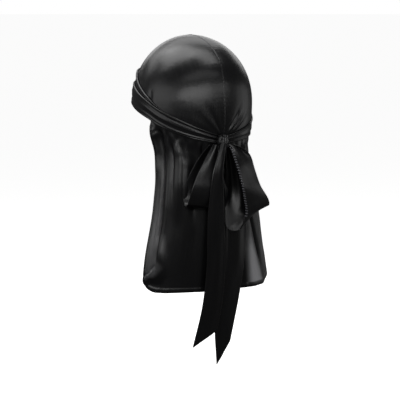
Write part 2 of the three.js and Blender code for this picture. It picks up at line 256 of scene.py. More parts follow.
def finished(shape, name):
    """Makes the shape a smooth piece of the scene."""
    for face in shape.faces:
        face.smooth = True
    mesh = bpy.data.meshes.new(name)
    shape.to_mesh(mesh)
    shape.free()
    piece = bpy.data.objects.new(name, mesh)
    bpy.context.scene.collection.objects.link(piece)
    return piece


def sheet_of_cloth(name, place, grid, flat, wall, pole=False, weave=None, sheer_and_painted_backlight=None, soften=True):
    """A grid, folded into place. place(u, v) is its inner side and wall(u, v) lifts it off that.
    With pole, its first row is drawn together at the top of the head."""
    columns, rows = grid
    cloth = bmesh.new()
    layer = cloth.loops.layers.uv.new("Weave")
    # Each vertex keeps how much light comes through it there: none where the hem is doubled, and
    # elsewhere painted backlight and painted shade.
    sheer_and_painted_backlight_layer = cloth.verts.layers.float.new("Sheer_and_painted_backlight") if sheer_and_painted_backlight else None
    bmesh.ops.create_grid(cloth, x_segments=columns, y_segments=rows, size=0.5, calc_uvs=True)
    spots = {vertex: (vertex.co.x + 0.5, vertex.co.y + 0.5) for vertex in cloth.verts}
    for face in cloth.faces:
        middle = sum((Vector(spots[vertex]) for vertex in face.verts), Vector((0, 0))) / len(face.verts)
        for loop in face.loops:
            u, v = spots[loop.vert]
            loop[layer].uv = weave(u, v, middle) if weave else (u * flat[0], v * flat[1])
    for vertex, (u, v) in spots.items():
        vertex.co = place(u, v)
        if sheer_and_painted_backlight:
            vertex[sheer_and_painted_backlight_layer] = sheer_and_painted_backlight(u, v)
    cloth.normal_update()
    lifts = {vertex: vertex.normal * wall(u, v) for vertex, (u, v) in spots.items()}
    if pole:
        top = [vertex for vertex, (u, v) in spots.items() if v < 0.5 / rows]
        for vertex in top:
            lifts[vertex] = Vector((0, 0, wall(0.5, 0)))
    for vertex, lift in lifts.items():
        vertex.co += lift
    if pole:
        bmesh.ops.remove_doubles(cloth, verts=top, dist=MERGE_DISTANCE)
    piece = finished(cloth, name)
    shell = piece.modifiers.new("Wall", "SOLIDIFY")
    shell.thickness = SATIN
    shell.offset = -1
    if soften:
        rounding = piece.modifiers.new("Soften", "SUBSURF")
        rounding.levels = rounding.render_levels = 1
    return piece


# Crown. Folds run up from the knot: near and far are a fold's bearing in degrees beside the
# knot and at its far end, with 0 straight up and the wearer's right positive.
CrownFold = namedtuple("CrownFold", "near far height spread")
CROWN_FOLDS = [
    CrownFold(31, 27, -0.5, 3.0),
    CrownFold(40, 34, 1.15, 3.2),
    CrownFold(48, 40, -0.7, 2.6),
    CrownFold(56, 46, 1.0, 3.0),
    CrownFold(64, 52, -0.5, 2.8),
    CrownFold(74, 60, 0.55, 4.0),
    CrownFold(-14, -17, 0.3, 4.0),
    CrownFold(-25, -26, -0.5, 4.0),
    CrownFold(-37, -37, 0.4, 5.0),
    CrownFold(-58, -56, 0.3, 6.0),
]
PUCKER_HEIGHT = 0.28 * MM
PUCKER_PITCH = 6.5 * MM
PUCKER_REACH = 11 * MM
PUCKER_PLACE = 78 * MM
PUCKER_STRETCH = 14 * MM
PUCKER_WAVER_LENGTH = 9 * MM
PUCKER_DRIFT_LENGTH = 11 * MM
# The columns of the grid lie closer together at the back, where the folds run into the knot.
CROWN_CROWDING = 0.55
ROWS_UNDER_BAND = 7
# A short dent above the band at the left.
PINCH_TURN = math.radians(75)
PINCH_DROP = 82 * MM
PINCH_LENGTH = 8 * MM
PINCH_WIDTH = 2.2 * MM
PINCH_DEPTH = 2.0 * MM
CROWN_UNEVENNESS = 0.3 * MM
CROWN_WAVE_LENGTH = 14 * MM


def crown_fold_lift(turn, drop):
    right, up = -turn * HEAD_BREADTH / 2, NAPE_DROP - drop
    distance = math.hypot(right, up)
    bearing = math.degrees(math.atan2(right, up))
    clear = smooth((band_drop(turn) - band_span(turn) / 2 - drop) / CROWN_FOLD_ONSET)
    fade = clear * (1 - smooth(distance / CROWN_FOLD_REACH))
    out = clamp(distance / CROWN_FOLD_REACH)
    total = sum(f.height * ridge(bearing - mix(f.near, f.far, out), f.spread) for f in CROWN_FOLDS)
    return CROWN_FOLD_HEIGHT * fade * total


def seam_pucker(side, turn, tilt):
    """Small ridges that the seam's thread draws up in the cloth beside it."""
    point = head_point(turn, tilt)
    arc = math.atan2(point.y, point.z + CROWN_HEIGHT) * HEAD_LENGTH / 2
    drawn = 0.2 + 0.8 * ridge(arc - PUCKER_PLACE, PUCKER_STRETCH)
    reach = PUCKER_REACH * (0.7 + 0.3 * ripple(arc / PUCKER_WAVER_LENGTH, 2 + side))
    drift = 0.8 * ripple(arc / PUCKER_DRIFT_LENGTH, 3 + side)
    wave = math.sin(2 * HALF_TURN * arc / PUCKER_PITCH + drift)
    return PUCKER_HEIGHT * drawn * wave * math.exp(-abs(point.x) / reach)


def crown_panel(side):
    """Half of the dome. side is 1 for the left panel and -1 for the right one."""
    rows = CROWN_GRID[1]

    def spot(u, v):
        round_head = u if side > 0 else 1 - u
        turn = side * HALF_TURN * mix(round_head, round_head**2, CROWN_CROWDING)
        band_top = tilt_at(band_drop(turn) - band_span(turn) / 2)
        edge = tilt_at(band_drop(turn) + CROWN_TUCK)
        shown = 1 - ROWS_UNDER_BAND / rows
        tilt = v / shown * band_top if v < shown else mix(band_top, edge, (v - shown) / (1 - shown))
        return turn, tilt

    def place(u, v):
        turn, tilt = spot(u, v)
        drop = -head_point(turn, tilt).z
        lift = crown_fold_lift(turn, drop) + seam_pucker(side, turn, tilt)
        across = (turn - PINCH_TURN) * HEAD_BREADTH / 2 - 0.15 * (drop - PINCH_DROP)
        lift -= PINCH_DEPTH * ridge(across, PINCH_WIDTH) * ridge(drop - PINCH_DROP, PINCH_LENGTH)
        lift += CROWN_UNEVENNESS * ripple(turn * 5, 1 + side) * ripple(drop / CROWN_WAVE_LENGTH, 2)
        point = head_point(turn, tilt, lift)
        point.x += side * CLEARANCE / 2 * abs(math.cos(turn))
        return point

    def weave(u, v, middle):
        # The warp runs from front to back beside the seam and down the back of the head.
        u = mix(u, middle.x, 0.02)
        point = head_point(*spot(u, max(v, 0.25 / rows)))
        sideways = math.asin(clamp(point.x / (HEAD_BREADTH / 2 * 1.08), -1, 1))
        backwards = math.atan2(point.y / HEAD_LENGTH * 2, (point.z + CROWN_HEIGHT) / CROWN_HEIGHT)
        return sideways * HEAD_BREADTH / 2, backwards * HEAD_LENGTH / 2

    name = "crown_left_satin" if side > 0 else "crown_right_satin"
    return sheet_of_cloth(name, place, CROWN_GRID, None, lambda u, v: WALL, pole=True, weave=weave)


def centre_seam():
    """The raised strip over the crown's middle line, from the front hem to the knot."""
    hem_top = band_drop(HALF_TURN) - band_span(HALF_TURN) / 2 - HEM_ROLL_RISE - HEM_ROLL_WIDTH
    front = tilt_at(hem_top - CLEARANCE - EDGE_GAP)
    back = tilt_at(band_drop(0) - band_span(0) / 2 - EDGE_GAP)

    def place(u, v):
        tilt = mix(-front, back, v)
        point = head_point(HALF_TURN if tilt < 0 else 0, abs(tilt), WALL - SEAM_SINK)
        waver = SEAM_WAVER * ripple(v * SEAM_LENGTH / SEAM_WAVER_LENGTH, 1)
        point.x = (u - 0.5) * SEAM_WIDTH + waver
        return point

    def wall(u, v):
        drawn = 0.8 + 0.2 * math.sin(2 * HALF_TURN * v * SEAM_LENGTH / PUCKER_PITCH)
        # The thread draws a groove into the strip, beside its middle.
        stitched = 1 - 0.7 * ridge(u - 0.62, 0.12)
        return SEAM_SINK + SEAM_RISE * math.sin(u * HALF_TURN) * stitched * drawn

    return sheet_of_cloth("crown_seam_strip", place, SEAM_GRID, (SEAM_WIDTH, SEAM_LENGTH), wall)


# Band. Lengthwise pleats: at is a pleat's place across the band from its upper edge at the
# left of the knot, drift how far it moves by the right of the knot, and first and last are
# where along the band it shows.
BandPleat = namedtuple("BandPleat", "at drift height spread first last")
BAND_PLEATS = [
    BandPleat(0.07, 0.0, 0.8, 0.07, 0, 1),
    BandPleat(0.25, 0.04, -0.6, 0.05, 0, 0.12),
    BandPleat(0.40, -0.05, 0.6, 0.14, 0, 0.5),
    BandPleat(0.66, 0.03, -0.3, 0.08, 0.03, 0.6),
    BandPleat(0.80, -0.03, 0.35, 0.10, 0, 0.7),
    BandPleat(0.55, 0.0, 0.6, 0.12, 0.55, 1),
    BandPleat(0.94, 0.0, 0.75, 0.05, 0, 1),
]


def pleat_lift(u, v):
    lift = 0.0
    for k, pleat in enumerate(BAND_PLEATS):
        shown = smooth((u - pleat.first) / 0.05 + 1) * smooth((pleat.last - u) / 0.08 + 1)
        centre = pleat.at + pleat.drift * u + 0.02 * ripple(u * 22, k + 1)
        uneven = 0.8 + 0.2 * ripple(u * 31, k + 4)
        lift += pleat.height * shown * uneven * ridge(v - centre, pleat.spread)
    return PLEAT_HEIGHT * lift + BAND_RIPPLE * math.sin(v * 34 + 2 * ripple(u * 16, 2))


def forehead_band():
    def place(u, v):
        turn = mix(BAND_OPENING, 2 * HALF_TURN - BAND_OPENING, u)
        drop = band_drop(turn) + (v - 0.5) * band_span(turn)
        return head_point(turn, tilt_at(drop), WALL + WRAP_CLEARANCE)

    def wall(u, v):
        rolled = 1 - 0.55 * ridge(min(v, 1 - v), 0.035)
        return (0.75 * WALL + max(-BAND_SINK, pleat_lift(u, v))) * rolled

    return sheet_of_cloth("forehead_wrap", place, BAND_GRID, (BAND_LENGTH, BAND_WIDTH), wall)


def front_hem():
    """The rolled hem that leaves the band beside the temple and rises over the forehead."""

    def grown(u):
        return 0.3 + 0.7 * smooth(math.sin(u * HALF_TURN) * 4)

    def place(u, v):
        turn = mix(HEM_ROLL_TURN, 2 * HALF_TURN - HEM_ROLL_TURN, u)
        rise = HEM_ROLL_RISE * smooth(math.sin(u * HALF_TURN) * 1.15)
        lower = band_drop(turn) - band_span(turn) / 2 - CLEARANCE - rise
        drop = lower - (1 - v) * HEM_ROLL_WIDTH * grown(u)
        return head_point(turn, tilt_at(drop), WALL + WRAP_CLEARANCE)

    def wall(u, v):
        roll = math.sqrt(max(0.0, math.sin(v * HALF_TURN)))
        return HEM_ROLL_WALL * (0.15 + 0.85 * grown(u) * roll) * (1 + 0.08 * ripple(u * 60, 3))

    return sheet_of_cloth("front_hem_roll", place, HEM_ROLL_GRID, (HEM_ROLL_LENGTH, HEM_ROLL_CLOTH), wall)


# Neck flap: plan of the cloth at shares of its fall, as shares of the head's half breadth and
# half length.
FlapSection = namedtuple("FlapSection", "fall half back side")
FLAP_SECTIONS = [
    FlapSection(0, 0.98, 0.93, 0.24),
    FlapSection(0.2, 0.87, 0.9, 0.28),
    FlapSection(0.5, 0.97, 0.88, 0.34),
    FlapSection(0.8, 1.15, 0.87, 0.4),
    FlapSection(1, 1.24, 0.86, 0.44),
]

# Its folds: where each starts and ends across the flap, from -1 at the right edge to 1 at the
# left edge, the shares of the fall between which it shows, its half width and its height.
FlapFold = namedtuple("FlapFold", "top foot first last spread height")
FLAP_FOLDS = [
    FlapFold(0.99, 0.95, 0, 0.4, 0.05, 1.0),
    FlapFold(0.97, 0.93, 0.2, 1, 0.045, 0.4),
    FlapFold(0.85, 0.84, 0, 0.36, 0.045, -1.9),
    FlapFold(0.90, 0.78, 0.15, 0.95, 0.026, -0.55),
    FlapFold(0.79, 0.73, 0.02, 0.75, 0.05, 0.6),
    FlapFold(0.70, 0.66, 0.02, 0.45, 0.028, -0.45),
    FlapFold(0.60, 0.56, 0.03, 0.6, 0.07, 0.9),
    FlapFold(0.43, 0.36, 0.12, 0.6, 0.06, -1.0),
    FlapFold(0.22, 0.2, 0.2, 1, 0.09, 0.5),
    FlapFold(-0.2, -0.24, 0.1, 1, 0.07, -0.6),
    FlapFold(-0.42, -0.5, 0, 1, 0.09, 0.4),
    FlapFold(-0.10, -0.90, 0.4, 0.999, 0.05, -0.9),
    FlapFold(-0.76, -1.0, 0.05, 1, 0.07, 0.8),
]
FINE_FLAP_FOLDS = [
    FlapFold(0.66, 0.62, 0.05, 0.5, 0.02, 0.14),
    FlapFold(0.56, 0.52, 0, 0.55, 0.022, -0.2),
    FlapFold(0.50, 0.48, 0.02, 0.4, 0.02, 0.14),
    FlapFold(0.90, 0.86, 0.1, 0.8, 0.02, 0.14),
    FlapFold(-0.33, -0.36, 0.2, 1, 0.025, 0.14),
    FlapFold(-0.66, -0.8, 0.1, 0.9, 0.02, 0.18),
]

# Short creases, each along a line on the flap: where it starts and ends across the flap and as a
# share of its drop, and its half width and height as shares of a crease's.
FlapCrease = namedtuple("FlapCrease", "across drop to_across to_drop spread height")
FLAP_CREASES = [
    FlapCrease(0.90, 0.372, 0.96, 0.400, 0.8, 0.5),
    FlapCrease(-0.50, 0.402, -0.42, 0.450, 0.8, 1.0),
    FlapCrease(-0.57, 0.410, -0.60, 0.455, 1.0, -1.2),
    FlapCrease(0.80, 0.780, 0.66, 0.950, 2.4, 1.0),
    FlapCrease(0.80, 0.895, 0.88, 0.922, 0.6, -0.6),
    FlapCrease(0.88, 0.922, 1.0, 0.950, 0.6, -0.6),
]
CREASE_SPREAD = 3 * MM
CREASE_HEIGHT = 2.6 * MM
FLAP_ARC = 112 * MM
TUCK_PLACE = 0.938
TUCK_DEPTH = 6 * MM
TUCK_LENGTH = 14 * MM

# Painted backlight on the flap: light comes through it only in strips at its left and right. Its middle,
# one layer as well, is held dark as painted shade. Here are the inner borders of these strips and the
# painted shaded fold across the right one, as places across the flap. The left strip is half as light as
# the right one. Both fade out where the doubled hem begins.
LEFT_PAINTED_LIGHT_BORDER = 0.76
LEFT_STRIP_PAINTED_LIGHT = 0.5
RIGHT_PAINTED_LIGHT_BORDER = -0.34
PAINTED_SHADE_FOLD_TOP = -0.10
PAINTED_SHADE_FOLD_FOOT = -0.88
LIGHT_PAST_HEM = 1 * MM

FlapSpot = namedtuple("FlapSpot", "across turn drop band_foot fall")


def flap_plan(turn, fall):
    half = HEAD_BREADTH / 2 * along(FLAP_SECTIONS, "half", fall)
    back = HEAD_LENGTH / 2 * along(FLAP_SECTIONS, "back", fall)
    side = HEAD_LENGTH / 2 * along(FLAP_SECTIONS, "side", fall)
    depth = (math.cos(turn) - math.cos(FLAP_TURN)) / (1 - math.cos(FLAP_TURN))
    return Vector((half * math.sin(turn) / math.sin(FLAP_TURN), mix(side, back, depth)))


def flap_fold_lift(across, fall):
    lift = 0.0
    for fold in FLAP_FOLDS + FINE_FLAP_FOLDS:
        ends = smooth((fall - fold.first) / 0.12 + 0.2)
        ends *= smooth((fold.last - fall) / 0.3) if fold.last < 1 else 1
        lift += fold.height * ends * ridge(across - mix(fold.top, fold.foot, fall), fold.spread)
    return FLAP_FOLD_HEIGHT * lift


def flap_crease_lift(across, drop):
    spot = Vector((across * FLAP_ARC, drop))
    lift = 0.0
    for crease in FLAP_CREASES:
        start = Vector((crease.across * FLAP_ARC, crease.drop * FLAP_DROP))
        course = Vector((crease.to_across * FLAP_ARC, crease.to_drop * FLAP_DROP)) - start
        share = clamp((spot - start).dot(course) / course.length_squared)
        height = crease.height * math.sin(share * HALF_TURN)
        distance = (spot - start - course * share).length
        lift += height * ridge(distance, crease.spread * CREASE_SPREAD)
    return CREASE_HEIGHT * lift


def flap_bulge(across, fall):
    """The flap stands off the nape at its upper left and hangs back in below that."""
    here = smooth((across - 0.3) / 0.2) * (1 - smooth((across - 0.65) / 0.2))
    back_in = 1 - smooth((fall - FLAP_BULGE_PLACE) / 0.6)
    return FLAP_BULGE * here * smooth(fall / FLAP_BULGE_PLACE) * back_in


def corner_tuck(across, drop):
    """How far the cloth is rolled in under the crease at the flap's lower left corner."""
    border = FLAP_DROP * (TUCK_PLACE + 0.022 * smooth((across - 0.88) / 0.12))
    return TUCK_DEPTH * smooth((across - 0.62) / 0.1) * smooth((drop - border) / TUCK_LENGTH + 0.1)


def flap_gathers(across, below):
    """The small gathers below the band, each of its own length and height."""
    place = across * GATHER_COUNT + 0.3 * ripple(across * 9, 2)
    reach = GATHER_LENGTH * (0.85 + 0.4 * ripple(math.floor(place) * 2.1, 3))
    crest = 2 * abs(math.sin(place * HALF_TURN)) - 1
    return GATHER_HEIGHT * crest * ridge(below, reach)


def flap_spot(u, v):
    """Where a place of the grid lies on the flap. Its first rows lie hidden under the band."""
    across = 2 * u - 1
    turn = across * FLAP_TURN
    top = band_drop(turn) + CROWN_TUCK + EDGE_GAP
    band_foot = band_drop(turn) + band_span(turn) / 2
    past_corner = max(0.0, (abs(across) - FLAP_CORNER_PLACE) / (1 - FLAP_CORNER_PLACE))
    corner = 1 - math.sqrt(max(0.0, 1 - past_corner**2))
    foot = FLAP_DROP + FLAP_TILT * across - FLAP_CORNER * corner
    if v < FLAP_UNDER_BAND:
        drop = mix(top, band_foot, v / FLAP_UNDER_BAND)
    else:
        drop = mix(band_foot, foot, (v - FLAP_UNDER_BAND) / (1 - FLAP_UNDER_BAND))
    fall = clamp((drop - band_foot) / (FLAP_DROP - band_foot))
    return FlapSpot(across, turn, drop, band_foot, fall)


def flap_edge(u, v):
    return min(u * FLAP_WIDTH, (1 - u) * FLAP_WIDTH, (1 - v) * FLAP_LENGTH)


def flap_sheer_and_painted_backlight(u, v):
    """Painted backlight: 1 in the strips at the flap's left and right where light is let through, less
    along a painted shaded fold across the right strip, and 0 in the flap's middle, held dark as painted
    shade, and where the hem is doubled.
    """
    across, _, drop, _, fall = flap_spot(u, v)
    border = LEFT_PAINTED_LIGHT_BORDER - 0.12 * ridge(drop / FLAP_DROP - 0.905, 0.03)
    left = smooth((across - border) / 0.12) * smooth((fall - 0.35) / 0.2)
    left *= 1 - smooth(2.5 * corner_tuck(across, drop) / TUCK_DEPTH)
    painted_shade_fold = mix(PAINTED_SHADE_FOLD_TOP, PAINTED_SHADE_FOLD_FOOT, fall)
    right = smooth((RIGHT_PAINTED_LIGHT_BORDER - across) / 0.14) * smooth((fall - 0.48) / 0.3)
    # The fold across the right strip is painted shade: the light is taken out along it, and more on its
    # inner side.
    right *= 1 - ridge(across - painted_shade_fold, 0.1)
    right *= mix(0.4, 1, smooth((across - painted_shade_fold) / 0.2 + 0.5))
    inside_hem = smooth((flap_edge(u, v) - FLAP_HEM + LIGHT_PAST_HEM) / HEM_SLOPE)
    return max(LEFT_STRIP_PAINTED_LIGHT * left, right) * inside_hem


def flap_lift(across, drop, below, fall):
    lift = flap_fold_lift(across, fall) + flap_gathers(across, below) + flap_crease_lift(across, drop)
    lift *= smooth(4 * below / FLAP_HANG)
    lift += flap_bulge(across, fall) - corner_tuck(across, drop)
    slack = smooth(below / FLAP_HANG) * ripple(across * 14, 1) * ripple(fall * 7, 2)
    return lift + FLAP_UNEVENNESS * slack


def neck_flap():
    def place(u, v):
        across, turn, drop, band_foot, fall = flap_spot(u, v)
        plan = flap_plan(turn, fall)
        away = (flap_plan(turn + 0.01, fall) - flap_plan(turn - 0.01, fall)).normalized()
        plan.x -= FLAP_SWING * smooth(-across / 0.7) * ridge(fall - 0.5, 0.22)
        plan.x += FLAP_FLARE * smooth(across / 0.8) * smooth((fall - 0.5) / 0.4)
        below = max(0.0, drop - band_foot)
        lift = flap_lift(across, drop, below, fall)
        head = head_point(turn, tilt_at(min(drop, band_foot + FLAP_HANG)))
        hang = smooth(below / FLAP_HANG)
        return Vector((
            mix(head.x, plan.x, hang) - away.y * lift,
            mix(head.y, plan.y, hang) + away.x * lift,
            -drop,
        ))

    def wall(u, v):
        edge = flap_edge(u, v)
        hem = FLAP_HEM_RISE * smooth((FLAP_HEM - edge) / HEM_SLOPE) - FLAP_EDGE * ridge(edge, FLAP_EDGE)
        return WALL + (hem if v > 0.1 else 0)

    # Its grid is fine enough for its folds as it is, and needs no softening.
    size = (FLAP_WIDTH, FLAP_LENGTH)
    return sheet_of_cloth("neck_flap_satin", place, FLAP_GRID, size, wall, sheer_and_painted_backlight=flap_sheer_and_painted_backlight, soften=False)


# Knot. It sits on the band, with its middle a little below the band's.

KNOT_SEAT = head_point(0, tilt_at(NAPE_DROP), WALL + WRAP_CLEARANCE)
KNOT_CENTRE = Vector((KNOT_SHIFT, KNOT_SEAT.y + KNOT_DEPTH / 2, -NAPE_DROP - KNOT_HEIGHT * 0.15))


def knot():
    """A tight bundle with one strap wrapped over it, both drawn into pleats."""
    bundle = bmesh.new()
    layer = bundle.loops.layers.uv.new("Weave")
    bmesh.ops.create_uvsphere(bundle, u_segments=96, v_segments=64, radius=1)
    for vertex in bundle.verts:
        p = vertex.co.copy()
        square = 1 / (abs(p.x) ** 3 + abs(p.y) ** 3 + abs(p.z) ** 3) ** (1 / 3)
        lean = p.x + 0.25 * p.z
        wrap = smooth((0.55 - abs(lean)) / 0.12)
        over = 0.05 * math.cos(lean * 5 * HALF_TURN) - 0.02
        bundled = 0.10 * math.cos(math.atan2(p.z, abs(p.x) + 0.3) * 9) - 0.13
        size = 1 + mix(bundled, over, wrap) - 0.12 * ridge(abs(lean) - 0.6, 0.06)
        vertex.co = KNOT_CENTRE + Vector((
            p.x * square * KNOT_WIDTH / 2,
            p.y * square * size * KNOT_DEPTH / 2,
            p.z * square * size * KNOT_HEIGHT / 2,
        ))
    for face in bundle.faces:
        for loop in face.loops:
            loop[layer].uv = (loop.vert.co.x, loop.vert.co.z)
    return finished(bundle, "knot_wrapped")


# Bow loops. The strap runs down from the knot, turns and comes back up behind. Each row gives
# where its two edges lie from the knot's middle: to the right as the bow is seen, down, and out
# towards whoever sees it, as shares of the strap's width.
LoopRow = namedtuple("LoopRow", "at right_aside right_down right_out left_aside left_down left_out")
LEFT_LOOP_ROWS = [
    LoopRow(0, -0.06, 0.08, 0.14, -0.25, 0.06, 0.11),
    LoopRow(0.12, -0.02, 0.33, 0.13, -0.39, 0.28, 0.21),
    LoopRow(0.25, -0.04, 0.69, 0.17, -0.57, 0.61, 0.33),
    LoopRow(0.36, -0.07, 1.05, 0.22, -0.73, 0.94, 0.43),
    LoopRow(0.44, -0.09, 1.30, 0.25, -0.83, 1.22, 0.50),
    LoopRow(0.50, -0.10, 1.56, 0.24, -0.90, 1.46, 0.49),
    LoopRow(0.55, -0.11, 1.74, 0.16, -0.96, 1.65, 0.36),
    LoopRow(0.59, -0.10, 1.80, 0.05, -1.01, 1.73, 0.17),
    LoopRow(0.63, -0.07, 1.71, -0.03, -1.06, 1.62, 0.02),
    LoopRow(0.70, -0.02, 1.44, -0.05, -1.06, 1.35, -0.05),
    LoopRow(0.82, 0.01, 0.88, -0.05, -0.88, 0.83, -0.05),
    LoopRow(0.92, -0.02, 0.39, -0.04, -0.60, 0.36, -0.04),
    LoopRow(1, -0.10, 0.11, -0.02, -0.36, 0.08, -0.03),
]
RIGHT_LOOP_ROWS = [
    LoopRow(0, 0.25, 0.04, 0.08, 0.11, 0.07, 0.14),
    LoopRow(0.10, 0.50, 0.14, 0.09, 0.22, 0.19, 0.24),
    LoopRow(0.20, 0.72, 0.34, -0.02, 0.29, 0.39, 0.35),
    LoopRow(0.35, 0.86, 0.77, -0.06, 0.40, 0.75, 0.45),
    LoopRow(0.48, 1.02, 1.22, -0.29, 0.51, 1.19, 0.34),
    LoopRow(0.58, 1.22, 1.56, -0.50, 0.58, 1.60, 0.14),
    LoopRow(0.64, 1.26, 1.74, -0.58, 0.62, 1.93, 0.02),
    LoopRow(0.68, 1.16, 1.76, -0.60, 0.54, 2.14, 0.01),
    LoopRow(0.72, 1.02, 1.70, -0.58, 0.47, 2.35, 0.01),
    LoopRow(0.76, 0.90, 1.62, -0.58, 0.27, 2.40, 0.02),
    LoopRow(0.82, 0.80, 1.42, -0.52, 0.08, 2.27, -0.08),
    LoopRow(0.90, 0.66, 1.00, -0.42, 0.06, 1.50, -0.34),
    LoopRow(0.96, 0.46, 0.50, -0.28, 0.08, 0.72, -0.24),
    LoopRow(1, 0.22, 0.11, -0.15, 0.08, 0.14, -0.10),
]
BOW_TURN = math.radians(28)
BOW_RIGHT = Vector((-math.cos(BOW_TURN), math.sin(BOW_TURN), 0))
BOW_OUT = Vector((math.sin(BOW_TURN), math.cos(BOW_TURN), 0))


def bow_point(right, down, out):
    return KNOT_CENTRE + STRAP_WIDTH * (BOW_RIGHT * right + BOW_OUT * out - Vector((0, 0, down)))


def loop_place(rows, u, v):
    right = bow_point(*(along(rows, "right_" + way, v) for way in ("aside", "down", "out")))
    left = bow_point(*(along(rows, "left_" + way, v) for way in ("aside", "down", "out")))
    pleats = ridge(min(v, 1 - v), 0.22) * math.cos(u * 3 * HALF_TURN)
    pleats += 0.25 * ripple(u * 4 + v * 6, 3) * math.sin(v * HALF_TURN)
    return right.lerp(left, u) + BOW_OUT * (LOOP_PLEAT * pleats * math.cos(v * HALF_TURN))


def bow_loop(name, rows, length):
    def place(u, v):
        return loop_place(rows, u, v)

    return sheet_of_cloth(name, place, LOOP_GRID, (STRAP_WIDTH, length), lambda u, v: WALL)


# Strap ends: how far each hangs to the left of the knot and behind it, its width, how it turns
# and how deeply it is folded, by its fall. Lengths are shares of the strap's width.
# END_CLOTH is the most cloth across an end, front and back, as a share of the width that shows,
# and END_CUT_REACH is how far across it the slanted cut goes on.
END_CLOTH = 1.8
END_CUT_REACH = 1.4
EndRow = namedtuple("EndRow", "fall left out width turn crease")
LEFT_END_ROWS = [
    EndRow(0, 0.05, 0.12, 0.15, 0, 0.02),
    EndRow(0.06, 0.16, 0.18, 0.2, 0, 0.03),
    EndRow(0.16, 0.30, 0.24, 0.3, -4, 0.05),
    EndRow(0.35, 0.33, 0.21, 0.44, -8, 0.08),
    EndRow(0.6, 0.29, 0.13, 0.52, -10, 0.08),
    EndRow(0.8, 0.35, 0.06, 0.62, -6, 0.06),
    EndRow(1, 0.56, 0, 0.76, 0, 0.04),
]
RIGHT_END_ROWS = [
    EndRow(0, -0.02, -0.08, 0.15, 0, -0.02),
    EndRow(0.06, -0.06, -0.18, 0.2, 0, -0.02),
    EndRow(0.16, -0.26, -0.26, 0.38, 4, -0.02),
    EndRow(0.35, -0.50, -0.24, 0.72, 6, 0.02),
    EndRow(0.6, -0.41, -0.15, 0.70, 6, 0.06),
    EndRow(0.8, -0.18, -0.12, 0.72, 2, 0.07),
    EndRow(1, -0.07, -0.12, 0.41, 0, 0.03),
]


def strap_end(name, rows, length, cut, seed):
    """An end hangs with one of its long edges folded back behind it."""

    def place(u, v):
        def share(column):
            return STRAP_WIDTH * along(rows, column, v)

        # cloth runs across the strap from its left edge, and past is what lies folded behind.
        turn, width = math.radians(along(rows, "turn", v)), share("width")
        cloth = (1 - u) * min(STRAP_WIDTH, END_CLOTH * width)
        past = max(0.0, cloth - width)
        bend = min(past / FOLD_RADIUS, HALF_TURN)
        across = width / 2 - min(cloth, width) - FOLD_RADIUS * math.sin(bend)
        across += max(0.0, past - HALF_TURN * FOLD_RADIUS)
        fold = 0.4 * share("crease") * math.cos(across / width * 2 * HALF_TURN)
        slack = math.sin((across / width + 0.5) * 9 + 2 * ripple(v * 5, seed))
        fold += STRAP_UNEVENNESS * slack * smooth(v * 6)
        fold -= FOLD_RADIUS * (1 - math.cos(bend))
        return Vector((
            KNOT_CENTRE.x + share("left") + across * math.cos(turn) - fold * math.sin(turn),
            KNOT_CENTRE.y + share("out") + across * math.sin(turn) + fold * math.cos(turn),
            KNOT_CENTRE.z - v * (length - cut * min(cloth / width, END_CUT_REACH)),
        ))

    def wall(u, v):
        edge = min(u, 1 - u) * STRAP_WIDTH
        hem = STRAP_HEM_RISE * smooth((STRAP_HEM - edge) / HEM_SLOPE)
        return WALL + hem - STRAP_EDGE_DEPTH * ridge(edge, STRAP_EDGE)

    return sheet_of_cloth(name, place, END_GRID, (STRAP_WIDTH, length), wall)


# Stitches


def overlock(name, place, edge, first, last):
    """Thread wrapped over a cut edge: one small bead for each stitch."""
    thread = bmesh.new()
    path = [place(edge, mix(first, last, i / STITCH_STEPS)) for i in range(STITCH_STEPS + 1)]
    inward = 0.02 if edge < 0.5 else -0.02
    walked, due = 0.0, 0.0
    for i in range(1, STITCH_STEPS + 1):
        walked += (path[i] - path[i - 1]).length
        if walked < due:
            continue
        due += STITCH_PITCH
        forward = (path[i] - path[i - 1]).normalized()
        across = (place(edge + inward, mix(first, last, i / STITCH_STEPS)) - path[i]).normalized()
        slant = (across + 0.35 * forward).normalized()
        outward = forward.cross(slant).normalized()
        turned = Matrix((slant, outward.cross(slant), outward)).transposed().to_4x4()
        middle = path[i] + across * STITCH_SIZE.x * 0.4 + outward * (WALL - SATIN / 2)
        bmesh.ops.create_uvsphere(
            thread, u_segments=8, v_segments=5, radius=1,
            matrix=Matrix.Translation(middle) @ turned @ Matrix.Diagonal((*STITCH_SIZE, 1)),
        )
    return finished(thread, name)


# Materials


def linear(hex_colour):
    """An sRGB hex colour as linear light, with alpha."""
    parts = [int(hex_colour[i:i + 2], 16) / 255 for i in (1, 3, 5)]
    return [c / 12.92 if c <= 0.04045 else ((c + 0.055) / 1.055) ** 2.4 for c in parts] + [1]


def add(tree, kind, settings=None, inputs=None):
    """Adds a node, with its settings, and its inputs as values or as other nodes' outputs."""
    node = tree.nodes.new(kind)
    for key, value in (settings or {}).items():
        setattr(node, key, value)
    for key, value in (inputs or {}).items():
        if isinstance(value, bpy.types.NodeSocket):
            tree.links.new(value, node.inputs[key])
        else:
            node.inputs[key].default_value = value
    return node


def blank_material(name):
    """A material whose node tree is still empty, and that tree."""
    material = bpy.data.materials.new(name)
    material.use_nodes = True
    material.node_tree.nodes.clear()
    return material, material.node_tree


